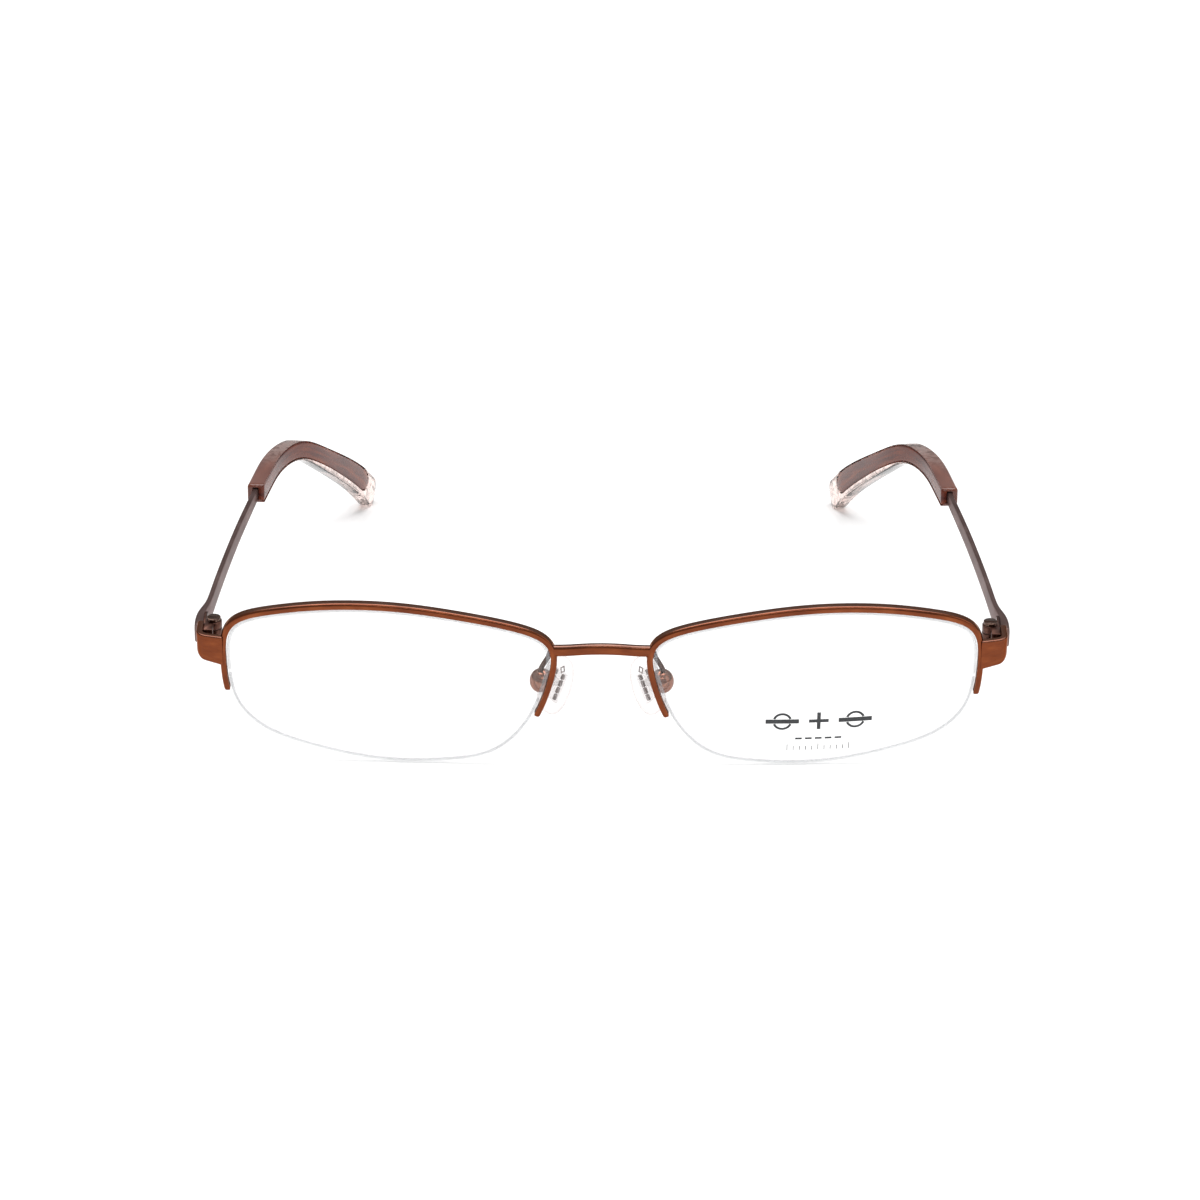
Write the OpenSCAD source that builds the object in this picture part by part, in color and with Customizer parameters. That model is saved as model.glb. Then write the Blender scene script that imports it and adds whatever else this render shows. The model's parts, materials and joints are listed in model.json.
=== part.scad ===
// Half rim eyeglasses: metal front, grooved lenses held by nylon cords, folding temples.
// The glasses stand on the lens bottoms and the temple tips. The face side is +Y, up is +Z,
// and the wearer's left is +X. Every left piece is drawn once and mirrored to the right.
//
// Three coordinate systems are used:
//   front  x outwards, v backwards, w upwards, square to the lenses
//   world  x outwards, y backwards, z upwards; the front leans forwards in it by front_tilt
//   pad    the nose pad's own axes, set by pad_place()

/* [Front] */
// Forward lean of the front's top edge, in degrees
front_tilt = 9; // [5:0.5:11]
// Rim height, seen from the front
rim_height = 1; // [0.9:0.05:1.2]
// Rim depth, from front to back
rim_depth = 1.6; // [1.5:0.05:2]
// Gap between the lens edge and the rim
rim_gap = 0.15; // [0.1:0.05:0.25]
// Bridge height
bridge_height = 1.9; // [1.6:0.1:2]
// Bridge depth
bridge_depth = 1.5; // [1.3:0.1:1.7]
// Height by which the middle of the bridge arches above its ends
bridge_arch = 0.9; // [0.3:0.1:1.2]

/* [Lens] */
// Radius of the lens front surface
lens_radius = 120; // [110:5:140]
// Wrap angle of each lens, in degrees
lens_wrap = 4; // [3:0.5:5]
// Lens thickness
lens_thickness = 1.5; // [1.4:0.1:1.8]
// Depth of the groove in the lens edge
groove_depth = 0.55; // [0.5:0.05:0.65]
// Width of the groove in the lens edge
groove_width = 0.6; // [0.56:0.02:0.7]
// Diameter of the nylon cord
cord_diameter = 0.5; // [0.4:0.02:0.5]

/* [Endpiece and hinge] */
// Endpiece sheet thickness
endpiece_sheet = 1; // [0.9:0.1:1.2]
// Distance of the hinge axis from the middle of the front
hinge_x = 62.9; // [62.7:0.1:63]
// Hinge barrel diameter
barrel_diameter = 2.6; // [2.4:0.1:2.6]
// Hinge screw shank diameter
screw_diameter = 1.2; // [1:0.1:1.3]
// Radial clearance of the screw in the barrels
screw_clearance = 0.05; // [0.02:0.01:0.08]

/* [Nose pads] */
// Nose pad length
pad_length = 10; // [9:0.2:11]
// Nose pad width
pad_width = 7; // [6:0.5:7.5]
// Nose pad thickness
pad_thickness = 2.8; // [2.6:0.1:3]
// Angle by which the pads spread towards the bottom, in degrees
pad_frontal_angle = 20; // [16:1:24]
// Angle by which the pads open towards the face, in degrees
pad_splay_angle = 38; // [34:1:40]
// Pad arm wire diameter
pad_arm_diameter = 1; // [0.8:0.05:1.1]

/* [Temples] */
// Thickness of the temple arm
arm_thickness = 0.9; // [0.8:0.05:1]
// Height of the temple arm behind the shoulder
arm_height = 3; // [2.8:0.1:3.4]
// Height of the temple plate at the hinge
plate_height = 3.6; // [3.4:0.1:4]
// Height of the temple tip at its end
tip_height = 5.6; // [5.2:0.1:5.8]

/* [Hidden] */

// Shift that puts the origin under the middle of the glasses, and lift off the lens tilt
front_y = -64.95;
front_z = 0.084;

copper = [0.59, 0.30, 0.17];
bronze = [0.45, 0.35, 0.32];
clear = [0.93, 0.95, 0.96, 0.35];
smoke_brown = [0.42, 0.24, 0.19];
steel = [0.62, 0.56, 0.53];

// Control points [x, w] of the left lens outline, clockwise from the top of the nasal side
lens_outline = [
    [12.5, 24], [23, 26.5], [33.5, 28], [44.5, 27.5], [53.5, 25.5], [60.5, 23],
    [60.5, 16], [60, 8.5], [55, 3.5], [46.5, 1.5], [36, -0.5], [24.5, 0],
    [17, 1], [11.5, 7], [9, 14], [7.5, 21]
];
lens_center = [34, 14];
// Points on the outline between two neighbouring control points
outline_steps = 6;
// Places along the outline, counted in control points: where the rim's two legs end
nasal_leg_end = 13.25;
temporal_leg_end = 6.7;
// Depth of the channel along the inside of the rim
channel_depth = 0.35;
// How far the cord's ends reach up inside the legs, counted in control points
cord_anchor = 0.4;

sphere_x = lens_center[0] - lens_radius * sin(lens_wrap);
sphere_v = lens_radius * cos(lens_wrap);
mid_radius = lens_radius - lens_thickness / 2;

// Hinge axis depth, the four end faces of the three barrels, and the gap between barrels
hinge_v = 11.5;
hinge_w = [15.8, 17.15, 18.85, 20.2];
barrel_gap = 0.05;
// Outer face and back end of the endpiece
endpiece_x = 65.4;
endpiece_end_v = 10.4;

// Middle of the pad's pin, in world coordinates before front_y is added
pad_box_place = [10, 7, 12.1];
// Distance of the pad's middle plane from the pin, and how far the pad hangs below the pin
pad_offset = 3.6;
pad_drop = 0.6;
pad_box_diameter = 4;
pad_pin_diameter = 0.8;

// ---- Splines, sections and lofts ----

// Weights of four neighbouring control points in a uniform cubic B-spline
function spline_weights(u) = [
    pow(1 - u, 3),
    3 * pow(u, 3) - 6 * pow(u, 2) + 4,
    -3 * pow(u, 3) + 3 * pow(u, 2) + 3 * u + 1,
    pow(u, 3)
] / 6;

// The point at place t on a closed spline
function closed_spline(points, t) =
    let (n = len(points), i = floor(t))
    spline_weights(t - i) * [for (k = [-1 : 2]) points[(i + k + n) % n]];

// The control point i of an open spline, carried on straight past both ends
function open_control(points, i) =
    let (last = len(points) - 1)
    i < 0 ? 2 * points[0] - points[1]
    : i > last ? 2 * points[last] - points[last - 1]
    : points[i];

// The point at place t on an open spline that starts and ends at its end control points
function open_spline(points, t) =
    let (i = min(floor(t), len(points) - 2))
    spline_weights(t - i) * [for (k = [-1 : 2]) open_control(points, i + k)];

function unit(a) = a / norm(a);
function signed_power(a, e) = sign(a) * pow(abs(a), e);

// A rounded box [width, height] as count points; a smaller roundness gives squarer corners
function rounded_section(size, roundness, count) = [
    for (i = [0 : count - 1])
        let (a = 360 * (i + 0.5) / count)
        [size[0] / 2 * signed_power(cos(a), roundness),
         size[1] / 2 * signed_power(sin(a), roundness)]
];

// A closed skin over rings of points, each ring counter-clockwise about the way it travels.
// Each end is closed by convex faces: a hollowed section lists them as caps.
module loft(rings, caps = []) {
    n = len(rings[0]);
    last = len(rings) - 1;
    sides = [
        for (r = [0 : last - 1], i = [0 : n - 1])
            let (j = (i + 1) % n, a = r * n, b = (r + 1) * n)
            each [[a + i, b + j, a + j], [a + i, b + i, b + j]]
    ];
    start = caps == [] ? [[for (i = [0 : n - 1]) i]] : caps;
    end = [for (cap = start) [for (i = [len(cap) - 1 : -1 : 0]) last * n + cap[i]]];
    polyhedron(
        points = [for (ring = rings) each ring],
        faces = concat(sides, start, end),
        convexity = 10
    );
}

// ---- Placing ----

// Stands the front on the ground, leaning forwards
module front_place() {
    translate([0, front_y, front_z]) rotate([front_tilt, 0, 0]) children();
}

// Puts pieces drawn in world coordinates over the origin
module world_place() {
    translate([0, front_y, 0]) children();
}

// Turns a piece drawn on the left into the right one
module on_side(side) {
    mirror([side == "right" ? 1 : 0, 0, 0]) children();
}

// ---- The lens edge, which the rim, the liner and the cord follow ----

function edge_point(t) = closed_spline(lens_outline, t);

// Direction square to the lens edge, pointing out of the lens
function edge_normal(t) =
    let (d = edge_point(t + 0.01) - edge_point(t - 0.01))
    unit([-d[1], d[0]]);

// Depth of the middle of the lens at [x, w]
function lens_mid_v(p) =
    sphere_v - sqrt(pow(mid_radius, 2) - pow(p[0] - sphere_x, 2) - pow(p[1] - lens_center[1], 2));

// A point out from the lens edge by a, and behind the middle of the lens by b
function edge_offset(t, a, b) =
    let (p = edge_point(t) + a * edge_normal(t))
    [p[0], lens_mid_v(p) + b, p[1]];

// Places from one end of a run along the edge to the other, through all whole steps between
function edge_places(from, to) = concat(
    [from],
    [for (k = [floor(from * outline_steps) + 1 : ceil(to * outline_steps) - 1]) k / outline_steps],
    [to]
);

// A section of [b, a] points drawn out along the lens edge
module edge_sweep(section, from, to, caps = []) {
    loft([for (t = edge_places(from, to)) [for (s = section) edge_offset(t, s[1], s[0])]], caps);
}

// Outline of the lens, moved out by a
function lens_polygon(a) = [
    for (k = [0 : len(lens_outline) * outline_steps - 1])
        let (t = k / outline_steps)
        edge_point(t) + a * edge_normal(t)
];

// A plate through the front with the given outline in x and w
module front_plate(outline) {
    translate([0, 30, 0]) rotate([90, 0, 0]) linear_extrude(height = 60) polygon(outline);
}

// A ball about the centre of the lens curve
module lens_ball(radius) {
    translate([sphere_x, sphere_v, lens_center[1]]) sphere(r = radius, $fn = 144);
}

// ---- Front ----

module eyewire() {
    inner = rim_gap;
    outer = rim_gap + rim_height;
    half = rim_depth / 2;
    channel = 0.3;
    bottom = inner + channel_depth;
    section = [
        [-channel, inner], [-channel, bottom], [channel, bottom], [channel, inner],
        [half - 0.25, inner], [half - 0.05, inner + 0.13], [half, inner + 0.3],
        [half, outer - 0.3], [half - 0.1, outer - 0.1], [half - 0.3, outer],
        [-half + 0.3, outer], [-half + 0.1, outer - 0.1], [-half, outer - 0.3],
        [-half, inner + 0.3], [-half + 0.05, inner + 0.13], [-half + 0.25, inner]
    ];
    back_of_channel = [for (i = [2 : 9]) i];
    front_of_channel = [for (i = [10 : 17]) i % len(section)];
    turn = len(lens_outline);
    color(copper) front_place() edge_sweep(
        section, nasal_leg_end, temporal_leg_end + turn,
        [[1, 2, 9, 10], back_of_channel, front_of_channel]
    );
}

module lens() {
    half_groove = groove_width / 2;
    color(clear) front_place() difference() {
        intersection() {
            front_plate(lens_polygon(0));
            lens_ball(lens_radius);
        }
        lens_ball(lens_radius - lens_thickness);
        difference() {
            lens_ball(mid_radius + half_groove);
            lens_ball(mid_radius - half_groove);
            front_plate(lens_polygon(-groove_depth));
        }
    }
}

// Fills the rim's channel and the lens groove from leg to leg, over the top of the lens
module lens_liner() {
    play = 0.02;
    low = -groove_depth + play;
    high = rim_gap + channel_depth - play;
    middle = (low + high) / 2;
    section = [for (s = rounded_section([0.46, high - low], 0.5, 8)) s + [0, middle]];
    color(clear) front_place()
        edge_sweep(section, nasal_leg_end + cord_anchor + 0.1,
            temporal_leg_end + len(lens_outline) - cord_anchor - 0.1);
}

// Lies in the groove under the lens, with each end locked in the channel of a leg
module nylon_cord() {
    middle = -groove_depth + cord_diameter / 2 + 0.02;
    section = [
        for (s = rounded_section([cord_diameter, cord_diameter], 1, 8)) s + [0, middle]
    ];
    color(clear) front_place()
        edge_sweep(section, temporal_leg_end - cord_anchor, nasal_leg_end + cord_anchor);
}

module bridge() {
    end = edge_offset(14.95, rim_gap + rim_height - 0.45, 0);
    path = [
        end, end + [-2.6, -0.5, 0.3], [2.4, end[1] - 1, end[2] + bridge_arch],
        [-2.4, end[1] - 1, end[2] + bridge_arch],
        [-end[0] + 2.6, end[1] - 0.5, end[2] + 0.3], [-end[0], end[1], end[2]]
    ];
    section = rounded_section([bridge_height, bridge_depth], 0.7, 16);
    color(copper) front_place() loft([
        for (k = [0 : 20])
            let (t = k / 4, p = open_spline(path, t))
            [for (s = section) p + [0, s[1], s[0]]]
    ]);
}

// Points on an arc in steps of no more than 15 degrees
function arc(center, radius, from, to) =
    let (n = ceil(abs(to - from) / 15))
    [for (i = [0 : n]) let (a = from + (to - from) * i / n) center + radius * [cos(a), sin(a)]];

// The lug at the outer end of the rim: a strip bent back from the front to the hinge
module endpiece() {
    bend = 1.9;
    inside_x = endpiece_x - endpiece_sheet;
    inside_bend = bend - endpiece_sheet;
    front_v = 5.4;
    bend_at = [endpiece_x - bend, front_v + bend];
    plan = concat(
        [[61.05, 4.95]],
        arc(bend_at, bend, -80, 0),
        [[endpiece_x, endpiece_end_v], [inside_x, endpiece_end_v]],
        arc(bend_at, inside_bend, 0, -80),
        [[61.05, 4.95 + endpiece_sheet + 0.2]]
    );
    face = concat(
        [[61, 20.5], [61, 15.3]],
        arc([endpiece_x - 1.5, 17.5], 1.5, -75, 0),
        [[endpiece_x, 20.7]]
    );
    color(copper) front_place() intersection() {
        linear_extrude(height = 30) polygon(plan);
        front_plate(face);
    }
}

// ---- Hinge ----

module hinge_barrel(from, to) {
    translate([hinge_x, hinge_v, from])
        cylinder(d = barrel_diameter, h = to - from, $fn = 48);
}

module hinge_bore() {
    translate([hinge_x, hinge_v, hinge_w[0] - 1])
        cylinder(r = screw_diameter / 2 + screw_clearance, h = 8, $fn = 48);
}

// Two barrels on a leaf that is soldered inside the endpiece
module hinge_front_leaf() {
    leaf_from_v = 8.2;
    leaf_outside = endpiece_x - endpiece_sheet + 0.03;
    notch_v = 10.05;
    height = hinge_w[3] - hinge_w[0];
    color(bronze) front_place() difference() {
        union() {
            hinge_barrel(hinge_w[0], hinge_w[3]);
            translate([hinge_x, leaf_from_v, hinge_w[0]])
                cube([leaf_outside - hinge_x, hinge_v - 1 - leaf_from_v, height]);
            translate([hinge_x, leaf_from_v + 1, hinge_w[0]])
                cube([1, hinge_v - leaf_from_v - 1, height]);
        }
        hinge_bore();
        translate([hinge_x - 3, notch_v, hinge_w[1] - barrel_gap])
            cube([8, 4, hinge_w[2] - hinge_w[1] + 2 * barrel_gap]);
    }
}

// One barrel between the other two, on a leaf that is soldered inside the temple
module hinge_temple_leaf() {
    barrel_height = hinge_w[2] - hinge_w[1];
    leaf_x = 64.3;
    leaf_outside = 64.85;
    leaf_length = 4.6;
    leaf_drop = 0.9;
    color(bronze) front_place() difference() {
        union() {
            hinge_barrel(hinge_w[1], hinge_w[2]);
            translate([hinge_x, hinge_v - 0.6, hinge_w[1]])
                cube([leaf_outside - hinge_x, 1.8, barrel_height]);
            translate([leaf_x, hinge_v + 0.5, hinge_w[1] - leaf_drop])
                cube([leaf_outside - leaf_x, leaf_length, barrel_height + leaf_drop + 0.1]);
        }
        hinge_bore();
    }
}

module hinge_screw() {
    head_height = 0.5;
    slot_width = 0.3;
    low = hinge_w[0] - 0.2;
    color(steel) front_place() difference() {
        translate([hinge_x, hinge_v, 0]) union() {
            translate([0, 0, low]) cylinder(d = screw_diameter, h = hinge_w[3] - low + 0.1, $fn = 48);
            translate([0, 0, hinge_w[3] + 0.02])
                cylinder(d = barrel_diameter - 0.4, h = head_height, $fn = 48);
        }
        translate([hinge_x - 2, hinge_v - slot_width / 2, hinge_w[3] + 0.27])
            cube([4, slot_width, 1]);
    }
}

// ---- Nose pads ----

// Axes of the pad: x across it towards its back edge, y along it upwards, z towards the nose
module pad_place() {
    up = [-sin(pad_frontal_angle), 0, cos(pad_frontal_angle)];
    side = [-cos(pad_frontal_angle), 0, -sin(pad_frontal_angle)];
    nose = cos(pad_splay_angle) * side + sin(pad_splay_angle) * [0, 1, 0];
    across = cross(up, nose);
    move = pad_box_place + [0, front_y, 0];
    multmatrix([
        [across[0], up[0], nose[0], move[0]],
        [across[1], up[1], nose[1], move[1]],
        [across[2], up[2], nose[2], move[2]]
    ]) children();
}

// A wire that leaves the back of the rim, loops back and comes down to the pad box
module pad_arm() {
    root = edge_offset(14.72, rim_gap + rim_height / 2, rim_depth / 2 - 0.15);
    lean = front_tilt;
    start = [
        root[0], root[1] * cos(lean) - root[2] * sin(lean),
        root[1] * sin(lean) + root[2] * cos(lean) + front_z
    ];
    path = [
        start, start + [0, 1.2, 0.15], start + [0.1, 2.6, 0.3], start + [0.6, 4.4, -0.4],
        start + [0.9, 5.7, -2.2], pad_box_place + [-0.05, -0.5, 2.4], pad_box_place + [0, -0.35, 1.4]
    ];
    section = rounded_section([pad_arm_diameter, pad_arm_diameter], 1, 10);
    steps = (len(path) - 1) * 3;
    color(copper) world_place() loft([
        for (k = [0 : steps])
            let (
                t = k / 3, p = open_spline(path, t),
                d = unit(open_spline(path, min(t + 0.05, len(path) - 1))
                    - open_spline(path, max(t - 0.05, 0))),
                n = unit(cross(d, [1, 0, 0])), m = cross(n, d)
            )
            [for (s = section) p + s[0] * m + s[1] * n]
    ]);
}

// A round cup with a domed back, open towards the nose
module pad_box() {
    r = pad_box_diameter / 2;
    color(copper) pad_place() difference() {
        rotate_extrude($fn = 48) polygon(concat(
            [[0, -1.5]],
            [for (a = [15 : 15 : 90]) [(r - 0.2) * sin(a), -0.3 - 1.2 * cos(a)]],
            [[r, 0], [r, 0.9], [0, 0.9]]
        ));
        translate([0, 0, -0.95]) cylinder(r = 1.15, h = 2, $fn = 48);
        rotate([0, 90, 0]) cylinder(d = pad_pin_diameter, h = 10, center = true, $fn = 32);
    }
}

// Cross pin that holds the pad's stem in the box
module pad_pin() {
    color(steel) pad_place() rotate([0, 90, 0])
        cylinder(d = pad_pin_diameter - 0.04, h = pad_box_diameter - 0.6, center = true, $fn = 32);
}

// Plate inside the pad with a stem that swings on the pin
module pad_core() {
    stem = 1.5;
    thickness = 0.6;
    color(steel) pad_place() difference() {
        union() {
            translate([-stem / 2, -0.55, 0]) cube([stem, 1.1, pad_offset]);
            rotate([0, 90, 0]) cylinder(d = 1.5, h = stem, center = true, $fn = 32);
            translate([-1.7, -2.6 - pad_drop, pad_offset - thickness / 2]) cube([3.4, 5.2, thickness]);
        }
        rotate([0, 90, 0])
            cylinder(d = pad_pin_diameter + 0.06, h = 4, center = true, $fn = 32);
    }
}

// Soft pillow, fuller at the bottom, moulded round the core
module nose_pad() {
    section = rounded_section([1, 1], 0.75, 14);
    steps = 12;
    color(clear) pad_place() difference() {
        translate([0, -pad_drop, pad_offset]) loft([
            for (k = [0 : steps])
                let (
                    a = 6 + 168 * k / steps, swell = pow(sin(a), 0.75),
                    y = -pad_length / 2 * cos(a) / cos(6), wide = pad_width * (1 - 0.012 * y)
                )
                [for (s = section) [s[1] * wide * swell, y, s[0] * pad_thickness * swell]]
        ]);
        translate([-0.77, -0.57, -1]) cube([1.54, 1.14, pad_offset + 1]);
        translate([-1.72, -2.62 - pad_drop, pad_offset - 0.32]) cube([3.44, 5.24, 0.64]);
    }
}

// ---- Temples ----

// Rows of [x, y, z, thickness, height, lean] from the hinge to the end of the wire in the tip.
// lean turns the section from square to the temple towards the plane of the front.
temple_line = [
    [65.4, 8.1, 19.5, 1.4, plate_height - 0.2, front_tilt],
    [65.5, 10, 19.6, 1.45, plate_height, front_tilt],
    [65.4, 13, 19.7, 1.4, plate_height + 0.1, 6],
    [64.9, 16, 19.8, 1.1, arm_height + 0.5, 2],
    [64.5, 19, 20, arm_thickness, arm_height, 0],
    [64.2, 27, 20.3, arm_thickness, arm_height, 0],
    [63.45, 40, 20.8, arm_thickness, arm_height - 0.2, 0],
    [62.45, 54, 21.4, arm_thickness, arm_height - 0.4, 0],
    [61.15, 68, 22, arm_thickness, arm_height - 0.7, 0],
    [60.3, 78, 22.2, arm_thickness, 1.8, 0],
    [59.2, 88, 22.7, arm_thickness, 1.5, 0],
    [55.9, 96.3, 22.9, arm_thickness, 1.5, 0],
    [52.8, 103.5, 18.7, arm_thickness, 1.5, 0],
    [49.8, 113.5, 13.4, 0.8, 1.4, 0],
    [47.7, 120.5, 9.55, 0.7, 1.2, 0]
];

// Rows of [x, y, z, thickness, height] of the whole tip, from its front end to its rounded end
tip_line = [
    [60.9, 71, 22.2, 3, 3.4],
    [60.3, 78, 22.2, 3.1, 3.3],
    [59.2, 88, 22.7, 3.1, 3.3],
    [55.9, 96.3, 22.9, 3, 3.5],
    [52.8, 103.5, 18.7, 2.9, 3.9],
    [49.8, 113.5, 13.4, 2.8, 4.6],
    [46.8, 123.5, 7.9, 2.7, tip_height - 0.4],
    [44.2, 133.1, 1.08, 2.6, tip_height]
];

// Direction of travel at place t of a line of rows
function line_direction(line, t) =
    let (
        a = open_spline(line, max(t - 0.05, 0)),
        b = open_spline(line, min(t + 0.05, len(line) - 1))
    )
    unit([b[0] - a[0], b[1] - a[1], b[2] - a[2]]);

// A ring across a line at place t: section points are [up, outwards] in millimetres
function line_ring(line, t, section, lean) =
    let (
        row = open_spline(line, t), p = [row[0], row[1], row[2]],
        d = line_direction(line, t),
        out = unit(cross(d, [0, 0, 1])),
        up = cross(out, d) - tan(lean) * d
    )
    [for (s = section) p + s[0] * up + s[1] * out];

// Metal arm: a tall plate at the hinge, a slim arm, and a wire that runs on inside the tip
module temple() {
    steps = (len(temple_line) - 1) * 4;
    color(bronze) world_place() loft([
        for (k = [0 : steps])
            let (t = k / 4, row = open_spline(temple_line, t))
            line_ring(temple_line, t, rounded_section([row[4], row[3]], 0.35, 16), row[5])
    ]);
}

// Places along the tip, closer together towards its rounded end
tip_end = len(tip_line) - 1;
tip_round = 0.27;
// Where the brown layer stops: the rest of the tip is clear right through
brown_end = tip_end - 0.55;
function tip_places(stop) = concat(
    [for (k = [0 : 3 * (tip_end - 1)]) k / 3],
    [for (a = [0 : 15 : 75]) stop - tip_round + tip_round * sin(a)]
);

// Share of the full height left at place t, where the end is rounded off before stop
function tip_rounding(t, stop) =
    let (over = max(0, t - (stop - tip_round)) / tip_round)
    sqrt(max(0.02, 1 - over * over));

// One layer of the tip between two distances from its middle, inset above and below
function layer_ring(t, from, to, inset, stop) =
    let (
        row = open_spline(tip_line, t), middle = (from + to) / 2 * row[3],
        size = [(row[4] - 2 * inset) * tip_rounding(t, stop), (to - from) * row[3]]
    )
    line_ring(tip_line, t,
        [for (s = rounded_section(size, 0.45, 16)) s + [0, middle]], 0);

// Brown layer on the head side, with a hole for the wire from its front end
module tip_inner_layer() {
    stop = brown_end;
    color(smoke_brown) world_place() difference() {
        loft([for (t = tip_places(stop)) layer_ring(t, -0.5, 0.18, 0.35, stop)]);
        wire_room(0.06);
    }
}

// The wire's room inside the tip, from in front of the tip to just past the wire's end
module wire_room(clearance) {
    first_step = 30;
    steps = (len(temple_line) - 1) * 4;
    loft([
        for (k = [first_step : steps + 1])
            let (t = min(k / 4, len(temple_line) - 1), row = open_spline(temple_line, t),
                past = k > steps ? line_direction(temple_line, t) * 0.3 : [0, 0, 0])
            [for (p = line_ring(temple_line, t,
                rounded_section([row[4] + 2 * clearance, row[3] + 2 * clearance], 0.35, 16), 0))
                p + past]
    ]);
}

// Clear layer on the outside, and the clear block that fills the tip past the brown layer
module tip_clear_layer() {
    stop = tip_end;
    block = concat(
        [for (k = [1 : 3]) brown_end + 0.02 + (stop - tip_round - brown_end - 0.02) * (k - 1) / 3],
        [for (a = [0 : 15 : 75]) stop - tip_round + tip_round * sin(a)]
    );
    color(clear) world_place() {
        loft([for (t = tip_places(stop)) layer_ring(t, 0.19, 0.5, 0, stop)]);
        loft([for (t = block) layer_ring(t, -0.5, 0.3, 0.02, stop)]);
    }
}

on_side("right") eyewire();  // right_eyewire
on_side("left") eyewire();  // left_eyewire
bridge();
on_side("right") endpiece();  // right_endpiece
on_side("left") endpiece();  // left_endpiece
on_side("right") lens();  // right_lens
on_side("left") lens();  // left_lens
on_side("right") lens_liner();  // right_lens_liner
on_side("left") lens_liner();  // left_lens_liner
on_side("right") nylon_cord();  // right_nylon_cord
on_side("left") nylon_cord();  // left_nylon_cord
on_side("right") hinge_front_leaf();  // right_hinge_front_leaf
on_side("left") hinge_front_leaf();  // left_hinge_front_leaf
on_side("right") hinge_temple_leaf();  // right_hinge_temple_leaf
on_side("left") hinge_temple_leaf();  // left_hinge_temple_leaf
on_side("right") hinge_screw();  // right_hinge_screw
on_side("left") hinge_screw();  // left_hinge_screw
on_side("right") pad_arm();  // right_pad_arm
on_side("left") pad_arm();  // left_pad_arm
on_side("right") pad_box();  // right_pad_box
on_side("left") pad_box();  // left_pad_box
on_side("right") pad_pin();  // right_pad_pin
on_side("left") pad_pin();  // left_pad_pin
on_side("right") pad_core();  // right_pad_core
on_side("left") pad_core();  // left_pad_core
on_side("right") nose_pad();  // right_nose_pad
on_side("left") nose_pad();  // left_nose_pad
on_side("right") temple();  // right_temple
on_side("left") temple();  // left_temple
on_side("right") tip_inner_layer();  // right_tip_inner_layer
on_side("left") tip_inner_layer();  // left_tip_inner_layer
on_side("right") tip_clear_layer();  // right_tip_clear_layer
on_side("left") tip_clear_layer();  // left_tip_clear_layer
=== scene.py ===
"""Half rim eyeglasses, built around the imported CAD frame.

Shapes are worked out in millimetres and written in metres. The left pieces are drawn and the right
ones mirrored. "front" coordinates are x outwards, v backwards and w upwards, square to the lenses.
"""

import json
import math

import bmesh
import bpy
import numpy as np
from mathutils import Matrix, Vector


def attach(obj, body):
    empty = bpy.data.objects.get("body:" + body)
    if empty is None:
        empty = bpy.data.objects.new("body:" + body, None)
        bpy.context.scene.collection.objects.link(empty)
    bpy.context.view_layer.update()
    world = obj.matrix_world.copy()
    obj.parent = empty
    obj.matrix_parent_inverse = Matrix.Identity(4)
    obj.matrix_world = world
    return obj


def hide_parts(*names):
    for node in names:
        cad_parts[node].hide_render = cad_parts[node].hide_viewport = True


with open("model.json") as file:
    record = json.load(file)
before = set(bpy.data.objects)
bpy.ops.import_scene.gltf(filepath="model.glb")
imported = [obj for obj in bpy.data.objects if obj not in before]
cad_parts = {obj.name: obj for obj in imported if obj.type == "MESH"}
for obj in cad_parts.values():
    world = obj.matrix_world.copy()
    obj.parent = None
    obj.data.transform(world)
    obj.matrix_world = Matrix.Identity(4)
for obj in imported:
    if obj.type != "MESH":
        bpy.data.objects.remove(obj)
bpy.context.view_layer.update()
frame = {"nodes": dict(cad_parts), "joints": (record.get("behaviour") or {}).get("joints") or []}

MM = 0.001
SIDES = {"left": 1, "right": -1}
JOINTS = {j["name"]: j for j in frame["joints"]}

# ---- The frame's own measures, in millimetres, and where the CAD stands the front ----

HINGE = np.array(JOINTS["left_temple_fold"]["pos_m"]) / MM
LEAN = math.asin(-JOINTS["left_temple_fold"]["axis"][1])
HINGE_V, HINGE_W = 11.5, 18.0
FRONT_Y = HINGE[1] - (HINGE_V * math.cos(LEAN) - HINGE_W * math.sin(LEAN))
FRONT_Z = HINGE[2] - (HINGE_V * math.sin(LEAN) + HINGE_W * math.cos(LEAN))

LENS_OUTLINE = [
    (12.5, 24), (23, 26.5), (33.5, 28), (44.5, 27.5), (53.5, 25.5), (60.5, 23),
    (60.5, 16), (60, 8.5), (55, 3.5), (46.5, 1.5), (36, -0.5), (24.5, 0),
    (17, 1), (11.5, 7), (9, 14), (7.5, 21),
]
TURN = len(LENS_OUTLINE)
LENS_CENTER = (34.0, 14.0)
LENS_RADIUS, LENS_WRAP, LENS_THICK = 120.0, math.radians(4), 1.5
SPHERE_X = LENS_CENTER[0] - LENS_RADIUS * math.sin(LENS_WRAP)
SPHERE_V = LENS_RADIUS * math.cos(LENS_WRAP)
MID_RADIUS = LENS_RADIUS - LENS_THICK / 2
GROOVE_DEPTH, GROOVE_WIDTH = 0.55, 0.6
NASAL_END, TEMPORAL_END = 13.25, 6.7
RIM_GAP, RIM_HEIGHT, RIM_DEPTH, CHANNEL_DEPTH = 0.15, 1.0, 1.6, 0.35

PAD_PIN = np.array(JOINTS["left_pad_rock"]["pos_m"]) / MM
PAD_FRONTAL, PAD_SPLAY = math.radians(20), math.radians(38)
PAD_OFFSET, PAD_DROP = 3.6, 0.6


# ---- Splines and placing ----

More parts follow.
